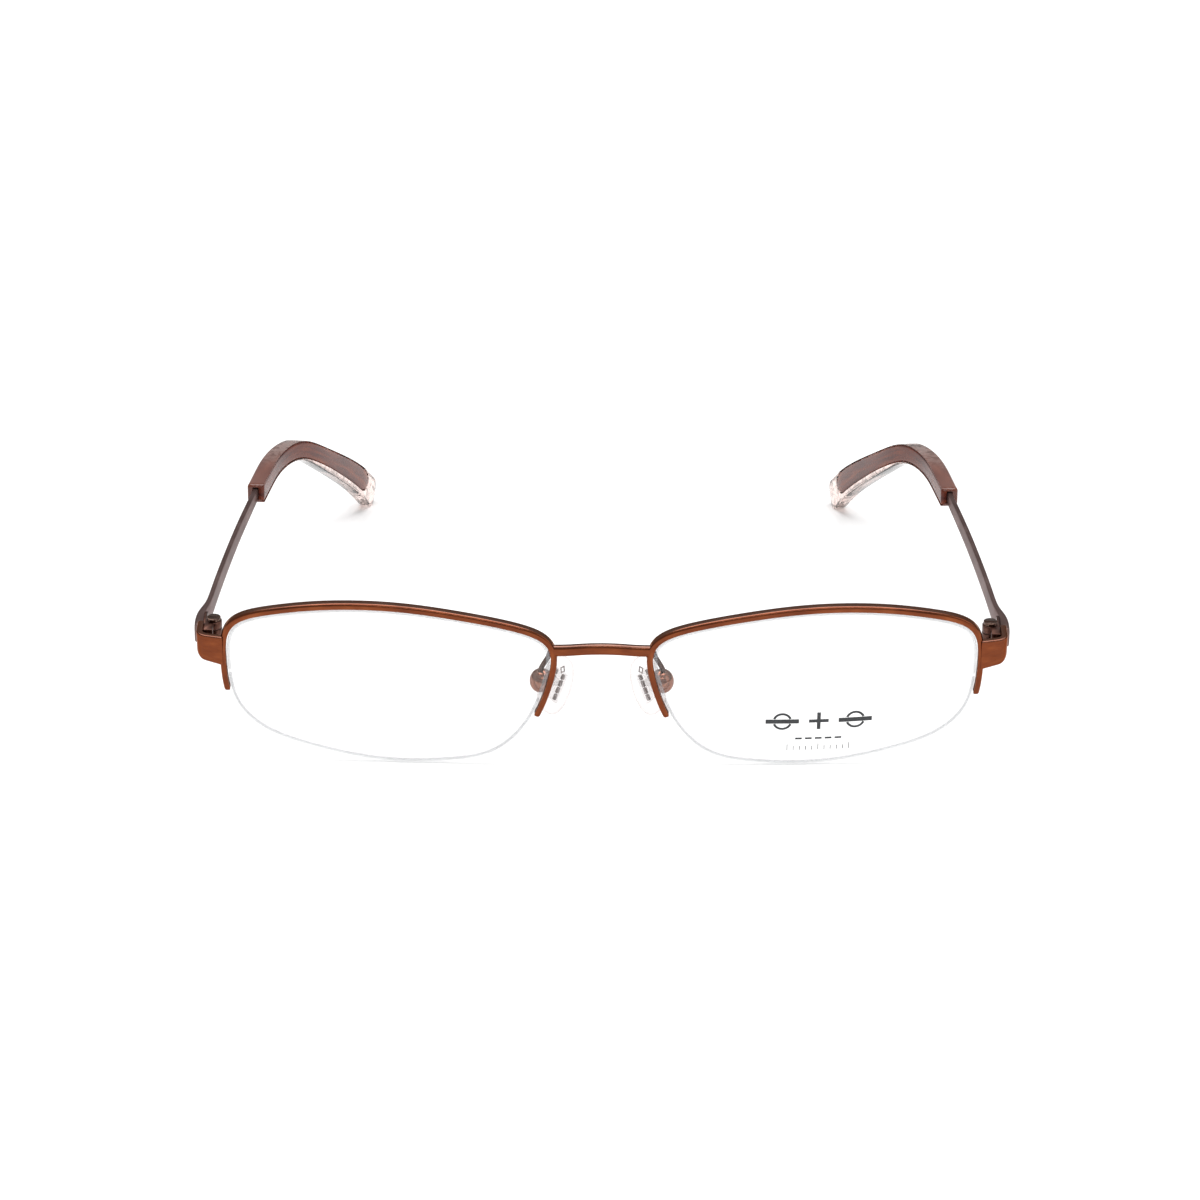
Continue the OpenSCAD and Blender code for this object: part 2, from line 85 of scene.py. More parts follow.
def spline_weights(u):
    return np.array([
        (1 - u) ** 3, 3 * u ** 3 - 6 * u ** 2 + 4, -3 * u ** 3 + 3 * u ** 2 + 3 * u + 1, u ** 3,
    ]) / 6


def closed_spline(points, t):
    i = math.floor(t)
    return spline_weights(t - i) @ np.array([points[(i + k) % len(points)] for k in (-1, 0, 1, 2)])


def open_control(points, i):
    last = len(points) - 1
    if i < 0:
        return 2 * points[0] - points[1]
    if i > last:
        return 2 * points[last] - points[last - 1]
    return points[i]


def open_spline(points, t):
    points = np.asarray(points, float)
    i = min(math.floor(t), len(points) - 2)
    return spline_weights(t - i) @ np.array([open_control(points, i + k) for k in (-1, 0, 1, 2)])


def unit(a):
    return np.asarray(a, float) / np.linalg.norm(a)


def smooth(x):
    x = min(1.0, max(0.0, x))
    return x * x * (3 - 2 * x)


def front_point(x, v, w):
    """A point of the front's own coordinates, stood on the ground leaning forwards."""
    c, s = math.cos(LEAN), math.sin(LEAN)
    return np.array([x, v * c - w * s + FRONT_Y, v * s + w * c + FRONT_Z])


def world_point(x, y, z):
    return np.array([x, y + FRONT_Y, z])


PAD_UP = np.array([-math.sin(PAD_FRONTAL), 0, math.cos(PAD_FRONTAL)])
PAD_SIDE = np.array([-math.cos(PAD_FRONTAL), 0, -math.sin(PAD_FRONTAL)])
PAD_NOSE = math.cos(PAD_SPLAY) * PAD_SIDE + math.sin(PAD_SPLAY) * np.array([0, 1, 0])
PAD_ACROSS = np.cross(PAD_UP, PAD_NOSE)


def pad_point(x, y, z):
    return PAD_PIN + x * PAD_ACROSS + y * PAD_UP + z * PAD_NOSE


def edge_point(t):
    return closed_spline(LENS_OUTLINE, t)


def edge_normal(t):
    d = edge_point(t + 0.01) - edge_point(t - 0.01)
    return unit([-d[1], d[0]])


def sphere_depth(x, w, radius):
    return SPHERE_V - math.sqrt(radius ** 2 - (x - SPHERE_X) ** 2 - (w - LENS_CENTER[1]) ** 2)


def edge_offset(t, a, b):
    """A point out from the lens edge by a, and behind the middle of the lens by b."""
    x, w = edge_point(t) + a * edge_normal(t)
    return front_point(x, sphere_depth(x, w, MID_RADIUS) + b, w)


# ---- Sections ----

def superellipse(size, roundness, count):
    """A rounded box as count points; a smaller roundness gives squarer corners."""
    out = []
    for i in range(count):
        a = 2 * math.pi * (i + 0.5) / count
        c, s = math.cos(a), math.sin(a)
        out.append((
            size[0] / 2 * math.copysign(abs(c) ** roundness, c),
            size[1] / 2 * math.copysign(abs(s) ** roundness, s),
        ))
    return out


def corner_arc(center, radius, start, steps=4):
    """Points on a quarter circle, counter-clockwise from the angle start in degrees."""
    return [
        (center[0] + radius * math.cos(math.radians(start + 90 * k / steps)),
         center[1] + radius * math.sin(math.radians(start + 90 * k / steps)))
        for k in range(steps + 1)
    ]


def round_rect(low, high, radii, steps=4):
    """A box from low to high with its own radius at each corner, counter-clockwise from (+, +)."""
    pp, np_, nn, pn = radii
    return (
        corner_arc((high[0] - pp, high[1] - pp), pp, 0, steps)
        + corner_arc((low[0] + np_, high[1] - np_), np_, 90, steps)
        + corner_arc((low[0] + nn, low[1] + nn), nn, 180, steps)
        + corner_arc((high[0] - pn, low[1] + pn), pn, 270, steps)
    )


# ---- Meshes ----

def skin(rings, tones=None):
    """A closed skin over rings of points, with the length and the way round as its UVs."""
    count = len(rings[0])
    verts = [p for ring in rings for p in ring]
    faces, uvs = [], []
    middles = [np.mean(ring, axis=0) for ring in rings]
    along = [0.0]
    for a, b in zip(middles, middles[1:]):
        along.append(along[-1] + max(1e-4, np.linalg.norm(b - a)))
    around = [0.0]
    wide = max(rings, key=lambda ring: np.ptp(np.array(ring), axis=0).sum())
    for i in range(count):
        around.append(around[-1] + np.linalg.norm(wide[(i + 1) % count] - wide[i]))
    for r in range(len(rings) - 1):
        for i in range(count):
            j = (i + 1) % count
            faces.append((r * count + i, r * count + j, (r + 1) * count + j, (r + 1) * count + i))
            uvs += [
                (along[r], around[i]), (along[r], around[i + 1]),
                (along[r + 1], around[i + 1]), (along[r + 1], around[i]),
            ]
    last = (len(rings) - 1) * count
    faces.append(tuple(reversed(range(count))))
    uvs += [(along[0], around[i]) for i in reversed(range(count))]
    faces.append(tuple(last + i for i in range(count)))
    uvs += [(along[-1], around[i]) for i in range(count)]
    return {"verts": verts, "faces": faces, "uvs": uvs, "tones": tones}


def piece(name, shape, side, body, material, nodes=(), sharp=40):
    """Makes an object from a shape in millimetres, mirrored to its side, riding on a body."""
    sign = SIDES.get(side, 1)
    mesh = bpy.data.meshes.new(name)
    verts = [Vector((sign * p[0], p[1], p[2])) * MM for p in shape["verts"]]
    faces, uvs = shape["faces"], shape.get("uvs")
    if uvs:
        start, loops = 0, []
        for f in faces:
            part = uvs[start:start + len(f)]
            loops += part if sign > 0 else list(reversed(part))
            start += len(f)
        uvs = loops
    if sign < 0:
        faces = [tuple(reversed(f)) for f in faces]
    mesh.from_pydata(verts, [], faces)
    if uvs:
        layer = mesh.uv_layers.new(name="Length")
        layer.data.foreach_set("uv", [x for uv in uvs for x in uv])
    if shape.get("tones") is not None:
        tone = mesh.attributes.new("tone", "FLOAT", "POINT")
        tone.data.foreach_set("value", [float(x) for x in shape["tones"]])
    materials = material if isinstance(material, (list, tuple)) else [material]
    for m in materials:
        mesh.materials.append(m)
    if shape.get("kinds"):
        mesh.polygons.foreach_set("material_index", shape["kinds"])
    mesh.polygons.foreach_set("use_smooth", [True] * len(mesh.polygons))
    mesh.set_sharp_from_angle(angle=math.radians(sharp))
    mesh.update()
    obj = bpy.data.objects.new(name, mesh)
    bpy.context.scene.collection.objects.link(obj)
    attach(obj, body)
    if nodes:
        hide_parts(*nodes)
    return obj


def both(name, shape, body, material, node=None, sharp=40):
    """The left piece and its mirror image. body may hold SIDE for the side's own body."""
    for side in SIDES:
        piece(
            f"{side}_{name}", shape, side, body.replace("SIDE", side), material,
            [f"{side}_{node}"] if node else (), sharp,
        )


def end_steps(radius, steps=4):
    """(distance from the end, inset) pairs that round an edge of the given radius."""
    angles = [math.pi / 2 * k / steps for k in range(steps + 1)]
    return [(radius * (1 - math.cos(a)), radius * (1 - math.sin(a))) for a in angles]


def stations(start, stop, step, speed_start, speed_stop, radius):
    """(place, inset) pairs along a run whose two ends are rounded.

    speed is the length in millimetres of one unit of place near that end."""
    head = [(start + d / speed_start, inset) for d, inset in end_steps(radius)]
    tail = [(stop - d / speed_stop, inset) for d, inset in end_steps(radius)]
    first, last = head[-1][0], tail[-1][0]
    n = max(1, round((last - first) / step))
    middle = [(first + (last - first) * k / n, 0.0) for k in range(1, n)]
    return head + middle + list(reversed(tail))


# ---- Materials ----

def srgb(r, g, b):
    """A colour given as it looks, 0 to 255, turned into the linear values that shaders use."""
    def linear(c):
        c /= 255
        return c / 12.92 if c <= 0.04045 else ((c + 0.055) / 1.055) ** 2.4
    return (linear(r), linear(g), linear(b), 1)


class Nodes:
    """A material's node tree, with short ways to add nodes and join them."""

    def __init__(self, name):
        self.material = bpy.data.materials.new(name)
        self.material.use_nodes = True
        self.tree = self.material.node_tree
        self.shader = self.tree.nodes["Principled BSDF"]

    def add(self, kind, **values):
        node = self.tree.nodes.new("ShaderNode" + kind)
        for key, value in values.items():
            if hasattr(node, key):
                setattr(node, key, value)
            else:
                node.inputs[key.replace("_", " ")].default_value = value
        return node

    def join(self, source, out, target, socket):
        self.tree.links.new(source.outputs[out], target.inputs[socket])

    def set(self, **values):
        for key, value in values.items():
            self.shader.inputs[key.replace("_", " ")].default_value = value

    def uv(self, scale):
        """UV coordinates in millimetres along and around, scaled."""
        uv = self.add("UVMap", uv_map="Length")
        mapping = self.add("Mapping")
        mapping.inputs["Scale"].default_value = scale
        self.join(uv, "UV", mapping, "Vector")
        return mapping

    def place(self, scale=1.0):
        """Object coordinates in millimetres, scaled."""
        where = self.add("TexCoord")
        mapping = self.add("Mapping")
        mapping.inputs["Scale"].default_value = (scale / MM,) * 3
        self.join(where, "Object", mapping, "Vector")
        return mapping

    def noise(self, source, detail=3.0, roughness=0.6, scale=1.0, distortion=0.0):
        noise = self.add("TexNoise")
        noise.inputs["Scale"].default_value = scale
        noise.inputs["Detail"].default_value = detail
        noise.inputs["Roughness"].default_value = roughness
        noise.inputs["Distortion"].default_value = distortion
        self.join(source, "Vector", noise, "Vector")
        return noise

    def ramp(self, source, out, stops):
        ramp = self.add("ValToRGB")
        elements = ramp.color_ramp.elements
        while len(elements) < len(stops):
            elements.new(0.5)
        for element, (position, color) in zip(elements, stops):
            element.position = position
            element.color = color
        self.join(source, out, ramp, "Fac")
        return ramp

    def remap(self, source, out, low, high):
        """The 0 to 1 output of a node stretched to low to high."""
        remap = self.add("MapRange")
        remap.inputs["To Min"].default_value = low
        remap.inputs["To Max"].default_value = high
        self.join(source, out, remap, "Value")
        return remap

    def mix(self, factor, a, b, blend="MIX"):
        """Mixes two colours. Each of factor, a and b is a (node, output) pair or a value."""
        mix = self.add("Mix")
        mix.data_type = "RGBA"
        mix.blend_type = blend
        for value, index in ((factor, 0), (a, 6), (b, 7)):
            if isinstance(value, tuple) and hasattr(value[0], "outputs"):
                self.tree.links.new(value[0].outputs[value[1]], mix.inputs[index])
            else:
                mix.inputs[index].default_value = value
        return mix

    def bump(self, source, out, distance, strength=1.0):
        bump = self.add("Bump")
        bump.inputs["Strength"].default_value = strength
        bump.inputs["Distance"].default_value = distance * MM
        self.join(source, out, bump, "Height")
        self.join(bump, "Normal", self.shader, "Normal")
        return bump


def lacquered_metal(name, base, shade, light, grain=0.5, gloss=(0.28, 0.44)):
    """Satin lacquer over metal: fine lengthwise grain, cloudy colour and a clear coat."""
    n = Nodes(name)
    cloud = n.noise(n.uv((0.16, 0.5, 1)), detail=3, roughness=0.55)
    color = n.ramp(cloud, "Fac", [(0.3, shade), (0.55, base), (0.78, light)])
    streak = n.noise(n.uv((0.7, 14.0, 1)), detail=4, roughness=0.65)
    tinted = n.mix(grain * 0.3, (color, "Color"), (n.ramp(
        streak, "Fac", [(0.35, shade), (0.7, light)]), "Color"))
    n.tree.links.new(tinted.outputs[2], n.shader.inputs["Base Color"])
    rough = n.remap(streak, "Fac", *gloss)
    n.join(rough, "Result", n.shader, "Roughness")
    speck = n.noise(n.place(7.0), detail=2, roughness=0.5)
    both_bumps = n.mix(0.5, (streak, "Color"), (speck, "Color"))
    n.bump(both_bumps, 2, 0.012, 0.35 * grain)
    n.set(Metallic=0.92, Coat_Weight=0.12, Coat_Roughness=0.15, Specular_Tint=(0.5, 0.45, 0.45, 1))
    return n


def copper_front_brown_top_metal(name):
    """Copper on the face of the frame, turning to grey brown on its top and back, under a thin clear coat.
    """
    n = Nodes(name)
    cloud = n.noise(n.uv((0.2, 0.6, 1)), detail=3, roughness=0.55)
    copper = n.ramp(cloud, "Fac", [
        (0.3, srgb(98, 46, 25)), (0.52, srgb(116, 57, 30)), (0.75, srgb(138, 74, 40))])
    brown = n.ramp(cloud, "Fac", [
        (0.3, srgb(98, 74, 67)), (0.7, srgb(122, 96, 87))])
    tone = n.add("Attribute", attribute_name="tone")
    streak = n.noise(n.uv((0.6, 15.0, 1)), detail=4, roughness=0.65)
    color = n.mix((tone, "Fac"), (brown, "Color"), (copper, "Color"))
    dim = n.mix(0.12, (color, 2), (n.ramp(
        streak, "Fac", [(0.35, srgb(70, 34, 20)), (0.7, srgb(176, 108, 70))]), "Color"))
    n.tree.links.new(dim.outputs[2], n.shader.inputs["Base Color"])
    rough = n.remap(streak, "Fac", 0.16, 0.3)
    n.join(rough, "Result", n.shader, "Roughness")
    n.bump(streak, "Fac", 0.01, 0.3)
    n.set(Metallic=1.0, Coat_Weight=0.15, Coat_Roughness=0.1, Specular_Tint=(0.7, 0.45, 0.35, 1))
    return n.material


copper_metal = copper_front_brown_top_metal("copper_lacquer")
bronze = lacquered_metal(
    "bronze_lacquer", srgb(118, 98, 94), srgb(92, 74, 70), srgb(150, 130, 126))
bronze_metal = bronze.material
box_metal = lacquered_metal(
    "pad_box_lacquer", srgb(146, 98, 80), srgb(108, 66, 52), srgb(184, 138, 116),
    0.25, (0.18, 0.26)).material
wire_metal = lacquered_metal(
    "pad_wire_lacquer", srgb(72, 48, 41), srgb(54, 36, 31), srgb(96, 70, 61)).material


def hinge_material():
    n = Nodes("hinge_lacquer")
    cloud = n.noise(n.place(0.7), detail=4, roughness=0.6)
    color = n.ramp(cloud, "Fac", [
        (0.3, srgb(66, 43, 36)), (0.55, srgb(88, 59, 50)), (0.8, srgb(114, 82, 70))])
    n.join(color, "Color", n.shader, "Base Color")
    fine = n.noise(n.place(9.0), detail=3, roughness=0.6)
    rough = n.remap(fine, "Fac", 0.26, 0.44)
    n.join(rough, "Result", n.shader, "Roughness")
    n.bump(fine, "Fac", 0.01, 0.35)
    n.set(Metallic=1.0, Coat_Weight=0.08, Coat_Roughness=0.2)
    return n.material


def steel_material():
    n = Nodes("screw_steel")
    turned = n.noise(n.place(3.0), detail=5, roughness=0.7)
    color = n.ramp(turned, "Fac", [(0.3, srgb(72, 54, 47)), (0.7, srgb(108, 86, 76))])
    n.join(color, "Color", n.shader, "Base Color")
    rough = n.remap(turned, "Fac", 0.16, 0.34)
    n.join(rough, "Result", n.shader, "Roughness")
    n.bump(turned, "Fac", 0.008, 0.3)
    n.set(Metallic=1.0)
    return n.material


def lens_material():
    """Polished clear lens: almost nothing straight on, with the faintest uneven film."""
    n = Nodes("lens_polish")
    film = n.noise(n.place(0.12), detail=2, roughness=0.5)
    color = n.ramp(film, "Fac", [(0.3, srgb(240, 247, 247)), (0.7, srgb(252, 252, 250))])
    n.join(color, "Color", n.shader, "Base Color")
    alpha = n.remap(film, "Fac", 0.03, 0.06)
    n.join(alpha, "Result", n.shader, "Alpha")
    rough = n.remap(film, "Fac", 0.02, 0.05)
    n.join(rough, "Result", n.shader, "Roughness")
    return n.material


def lens_edge_material():
    """The ground and polished edge of the lens, seen as a pale line."""
    n = Nodes("lens_edge")
    ground = n.noise(n.place(5.0), detail=3, roughness=0.6)
    color = n.ramp(ground, "Fac", [(0.3, srgb(182, 180, 185)), (0.7, srgb(214, 212, 216))])
    n.join(color, "Color", n.shader, "Base Color")
    alpha = n.remap(ground, "Fac", 0.12, 0.22)
    n.join(alpha, "Result", n.shader, "Alpha")
    rough = n.remap(ground, "Fac", 0.18, 0.3)
    n.join(rough, "Result", n.shader, "Roughness")
    n.bump(ground, "Fac", 0.01, 0.3)
    return n.material


def nylon_material(name, low, high):
    n = Nodes(name)
    drawn = n.noise(n.uv((0.3, 9.0, 1)), detail=3, roughness=0.5)
    color = n.ramp(drawn, "Fac", [(0.3, srgb(178, 182, 184)), (0.7, srgb(214, 218, 219))])
    n.join(color, "Color", n.shader, "Base Color")
    alpha = n.remap(drawn, "Fac", low, high)
    n.join(alpha, "Result", n.shader, "Alpha")
    rough = n.remap(drawn, "Fac", 0.15, 0.3)
    n.join(rough, "Result", n.shader, "Roughness")
    n.bump(drawn, "Fac", 0.008, 0.3)
    return n.material


def clear_rubber(name, color, pale, thin, edge, rough_low, rough_high):
    """Clear rubber or resin: see-through face on, closing up towards its outline."""
    n = Nodes(name)
    cloud = n.noise(n.place(0.5), detail=3, roughness=0.5)
    tint = n.ramp(cloud, "Fac", [(0.3, color), (0.7, pale)])
    n.join(tint, "Color", n.shader, "Base Color")
    facing = n.add("LayerWeight")
    facing.inputs["Blend"].default_value = 0.35
    alpha = n.remap(facing, "Facing", thin, edge)
    n.join(alpha, "Result", n.shader, "Alpha")
    fine = n.noise(n.place(6.0), detail=2, roughness=0.5)
    rough = n.remap(fine, "Fac", rough_low, rough_high)
    n.join(rough, "Result", n.shader, "Roughness")
    n.bump(fine, "Fac", 0.01, 0.25)
    return n.material


def insert_shade_material():
    """Painted shade on the walls of the slots moulded in the pad's insert: a darker, opaque grey than the
    insert's faces, so they read as dark dashes.
    """
    n = Nodes("pad_insert_shade")
    fine = n.noise(n.place(4.0), detail=3, roughness=0.6)
    color = n.ramp(fine, "Fac", [(0.3, srgb(112, 108, 107)), (0.7, srgb(156, 151, 150))])
    n.join(color, "Color", n.shader, "Base Color")
    rough = n.remap(fine, "Fac", 0.25, 0.4)
    n.join(rough, "Result", n.shader, "Roughness")
    return n.material


def brown_acetate():
    """Brown acetate: cloudy streaks along the tip under a polished skin."""
    n = Nodes("tip_brown_acetate")
    streak = n.noise(n.uv((0.09, 0.75, 1)), detail=4, roughness=0.55, distortion=0.5)
    color = n.ramp(streak, "Fac", [
        (0.26, srgb(66, 30, 25)), (0.45, srgb(88, 43, 35)), (0.6, srgb(108, 53, 37)),
        (0.8, srgb(146, 80, 46))])
    n.join(color, "Color", n.shader, "Base Color")
    fine = n.noise(n.place(1.5), detail=2, roughness=0.5)
    rough = n.remap(fine, "Fac", 0.2, 0.32)
    n.join(rough, "Result", n.shader, "Roughness")
    n.bump(streak, "Fac", 0.006, 0.2)
    n.set(IOR=1.48, Coat_Weight=0.04, Coat_Roughness=0.08)
    n.shader.inputs["Specular IOR Level"].default_value = 0.16
    return n.material


def clear_acetate():
    """Clear acetate, tinted brown at the tip's front and pale pink towards its end."""
    n = Nodes("tip_clear_acetate")
    streak = n.noise(n.uv((0.1, 0.6, 1)), detail=3, roughness=0.5)
    depth = n.noise(n.place(0.8), detail=2, roughness=0.5, distortion=0.8)
    pale = n.ramp(depth, "Fac", [
        (0.38, srgb(150, 138, 132)), (0.5, srgb(240, 212, 204)), (0.7, srgb(250, 234, 228))])
    tinted = n.ramp(streak, "Fac", [(0.3, srgb(96, 50, 39)), (0.7, srgb(130, 74, 57))])
    tone = n.add("Attribute", attribute_name="tone")
    color = n.mix((tone, "Fac"), (tinted, "Color"), (pale, "Color"))
    n.tree.links.new(color.outputs[2], n.shader.inputs["Base Color"])
    fine = n.noise(n.place(1.2), detail=2, roughness=0.5)
    rough = n.remap(fine, "Fac", 0.01, 0.05)
    n.join(rough, "Result", n.shader, "Roughness")
    n.bump(streak, "Fac", 0.02, 0.15)
    clear = n.remap(tone, "Fac", 0.25, 1.0)
    n.join(clear, "Result", n.shader, "Transmission Weight")
    n.set(IOR=1.48)
    return n.material


def print_material():
    n = Nodes("fitting_mark_ink")
    ink = n.noise(n.place(3.0), detail=3, roughness=0.6)
    color = n.ramp(ink, "Fac", [(0.3, srgb(38, 40, 43)), (0.75, srgb(62, 64, 67))])
    n.join(color, "Color", n.shader, "Base Color")
    rough = n.remap(ink, "Fac", 0.45, 0.65)
    n.join(rough, "Result", n.shader, "Roughness")
    return n.material


hinge_metal = hinge_material()
screw_steel = steel_material()
lens_polish = lens_material()
lens_edge = lens_edge_material()
nylon_strip = nylon_material("nylon_strip", 0.08, 0.16)
nylon_cord = nylon_material("nylon_cord", 0.2, 0.34)
silicone = clear_rubber("pad_silicone", srgb(196, 172, 168), srgb(222, 204, 200), 0.05, 0.6, 0.06, 0.14)
insert = clear_rubber(
    "pad_insert", srgb(214, 208, 208), srgb(240, 236, 236), 0.14, 0.34, 0.15, 0.3)
insert_shade = insert_shade_material()
tip_brown = brown_acetate()
tip_clear = clear_acetate()
ink = print_material()


# ---- Front ----

def eyewire():
    """The half rim: a rounded bar with a channel along its inside, swept round the lens edge."""
    inner, outer, half = RIM_GAP, RIM_GAP + RIM_HEIGHT - 0.015, RIM_DEPTH / 2
    middle = (inner + outer) / 2
    section = round_rect((-half, inner), (half, outer), (0.28, 0.4, 0.14, 0.14), 6)
    channel = [(-0.3, inner), (-0.3, inner + CHANNEL_DEPTH),
               (0.3, inner + CHANNEL_DEPTH), (0.3, inner)]
    section = section[:21] + channel + section[21:]
    # section points are (b, a): b backwards, a outwards
    facing = [smooth((0.42 - half - b) / 0.3) for b, a in section]
    rings, tones = [], []
    for t, inset in stations(NASAL_END, TEMPORAL_END + TURN, 1 / 20, 6.6, 7.4, 0.28):
        ring = []
        for b, a in section:
            shrunk = b * (1 - inset / half)
            raised = middle + (a - middle) * (1 - inset / (RIM_HEIGHT / 2))
            ring.append(edge_offset(t, raised, shrunk))
        rings.append(ring)
        tones += facing
    return skin(rings, tones)


def edge_bar(section, start, stop, step=1 / 16):
    """A section of (b, a) points swept along the lens edge."""
    count = round((stop - start) / step)
    return skin([
        [edge_offset(start + (stop - start) * k / count, a, b) for b, a in section]
        for k in range(count + 1)
    ])


def lens():
    """A curved lens with a polished face on each side and a grooved, chamfered edge."""
    per_turn = TURN * 12
    places = [k / 12 for k in range(per_turn)]
    rear = LENS_RADIUS - LENS_THICK
    front_groove, rear_groove = MID_RADIUS + GROOVE_WIDTH / 2, MID_RADIUS - GROOVE_WIDTH / 2
    edge = [
        (-0.14, LENS_RADIUS), (-0.02, LENS_RADIUS - 0.08), (0, LENS_RADIUS - 0.14),
        (0, front_groove + 0.04), (-0.04, front_groove),
        (-GROOVE_DEPTH, front_groove - 0.03), (-GROOVE_DEPTH, rear_groove + 0.03),
        (-0.04, rear_groove), (0, rear_groove - 0.04),
        (0, rear + 0.14), (-0.02, rear + 0.08), (-0.14, rear),
    ]
    shares = [0.06, 0.2, 0.36, 0.52, 0.68, 0.82, 0.93]
    cx, cw = LENS_CENTER

    def face_ring(share, radius):
        ring = []
        for t in places:
            x, w = edge_point(t)
            x, w = cx + share * (x - cx), cw + share * (w - cw)
            ring.append(front_point(x, sphere_depth(x, w, radius), w))
        return ring

    def edge_ring(a, radius):
        ring = []
        for t in places:
            x, w = edge_point(t) + (a - 0.015) * edge_normal(t)
            ring.append(front_point(x, sphere_depth(x, w, radius), w))
        return ring

    rings = [face_ring(s, LENS_RADIUS) for s in shares]
    rings += [edge_ring(a, radius) for a, radius in edge]
    rings += [face_ring(s, rear) for s in reversed(shares)]
    verts = [p for ring in rings for p in ring]
    faces, kinds = [], []
    for r in range(len(rings) - 1):
        on_edge = len(shares) <= r < len(shares) + len(edge) - 1
        for i in range(per_turn):
            j = (i + 1) % per_turn
            faces.append((r * per_turn + j, r * per_turn + i,
                          (r + 1) * per_turn + i, (r + 1) * per_turn + j))
            kinds.append(1 if on_edge else 0)
    last = (len(rings) - 1) * per_turn
    for middle_radius, first, flip in ((LENS_RADIUS, 0, False), (rear, last, True)):
        verts.append(front_point(cx, sphere_depth(cx, cw, middle_radius), cw))
        hub = len(verts) - 1
        for i in range(per_turn):
            j = (i + 1) % per_turn
            tri = (hub, first + i, first + j)
            faces.append(tuple(reversed(tri)) if flip else tri)
            kinds.append(0)
    return {"verts": verts, "faces": faces, "kinds": kinds}


def bridge():
    """Arched bar between the two rims, thinner from front to back than it is tall."""
    end = np.array(closed_spline(LENS_OUTLINE, 14.95))
    end = end + (RIM_GAP + RIM_HEIGHT - 0.45) * edge_normal(14.95)
    x, w = end
    v = sphere_depth(x, w, MID_RADIUS)
    path = [
        (x, v, w), (x - 2.6, v - 0.5, w + 0.3), (2.4, v - 1, w + 0.9),
        (-2.4, v - 1, w + 0.9), (-x + 2.6, v - 0.5, w + 0.3), (-x, v, w),
    ]
    section = superellipse((1.88, 1.46), 0.76, 32)
    rings, tones = [], []
    for k in range(101):
        p = open_spline(path, k / 20)
        ring = []
        for up, back in section:
            ring.append(front_point(p[0], p[1] + back, p[2] + up))
            tones.append(smooth((0.45 - back - 0.75 * max(0.0, up)) / 0.6))
        rings.append(ring)
    return skin(rings, tones)


ENDPIECE_X, ENDPIECE_SHEET, ENDPIECE_BEND, ENDPIECE_V = 65.4, 1.0, 1.9, 5.4


def endpiece():
    """The lug at the rim's outer end: a strip bent back to the hinge, with softened edges."""
    bend = np.array([ENDPIECE_X - ENDPIECE_BEND, ENDPIECE_V + ENDPIECE_BEND])
    plan = []
    start, tangent = np.array([61.05, 4.95]), math.radians(-80)
    first = bend + ENDPIECE_BEND * np.array([math.cos(tangent), math.sin(tangent)])
    straight = first - start
    for k in range(9):
        plan.append((start + straight * k / 9, unit([-straight[1], straight[0]])))
    for k in range(17):
        a = tangent * (1 - k / 16)
        toward = np.array([math.cos(a), math.sin(a)])
        plan.append((bend + ENDPIECE_BEND * toward, -toward))
    back = np.array([ENDPIECE_X, 10.4])
    corner = plan[-1][0]
    for k in range(1, 9):
        plan.append((corner + (back - corner) * k / 8, np.array([-1.0, 0])))
    lengths = [0.0]
    for (a, _), (b, _) in zip(plan, plan[1:]):
        lengths.append(lengths[-1] + np.linalg.norm(b - a))
    round_x, round_w, round_r = ENDPIECE_X - 1.5, 17.5, 1.5

    def heights(x):
        side = round_x + round_r * math.cos(math.radians(-75))
        foot = round_w + round_r * math.sin(math.radians(-75))
        low = 15.3 + (foot - 15.3) * (x - 61) / (side - 61)
        if x > side:
            low = round_w - math.sqrt(max(0.0, round_r ** 2 - (x - round_x) ** 2))
        return low, 20.5 + 0.2 * (x - 61) / (ENDPIECE_X - 61)

    rings, tones = [], []
    total = lengths[-1]
    marks = sorted(
        [d for d, _ in end_steps(0.2)] + lengths[1:-1] + [total - d for d, _ in end_steps(0.2)])
    marks = [m for i, m in enumerate(marks) if i == 0 or m - marks[i - 1] > 0.012]
    for mark in marks:
        i = min(len(lengths) - 2, max(j for j, q in enumerate(lengths) if q <= mark + 1e-9))
        share = (mark - lengths[i]) / (lengths[i + 1] - lengths[i])
        spot = plan[i][0] + share * (plan[i + 1][0] - plan[i][0])
        inward = unit(plan[i][1] * (1 - share) + plan[i + 1][1] * share)
        close = min(mark, total - mark)
        inset = 0.2 - math.sqrt(max(0.0, 0.2 ** 2 - (0.2 - min(close, 0.2)) ** 2))
        low, high = heights(spot[0])
        box = round_rect(
            (inset, low + inset), (ENDPIECE_SHEET - inset, high - inset),
            (0.12, 0.26, 0.26, 0.12))
        rings.append([
            front_point(spot[0] + inward[0] * depth, spot[1] + inward[1] * depth, w)
            for depth, w in reversed(box)
        ])
        tones += [
            smooth((0.6 - depth) / 0.5) * (0.45 if w > high - 0.16 else 1.0)
            for depth, w in reversed(box)
        ]
    return skin(rings, tones)


both("rim", eyewire(), "front", copper_metal, "eyewire")
piece("bridge_bar", bridge(), "left", "front", copper_metal, ["bridge"])
both("lug", endpiece(), "front", copper_metal, "endpiece")
both("lens_disc", lens(), "front", [lens_polish, lens_edge], "lens", 30)

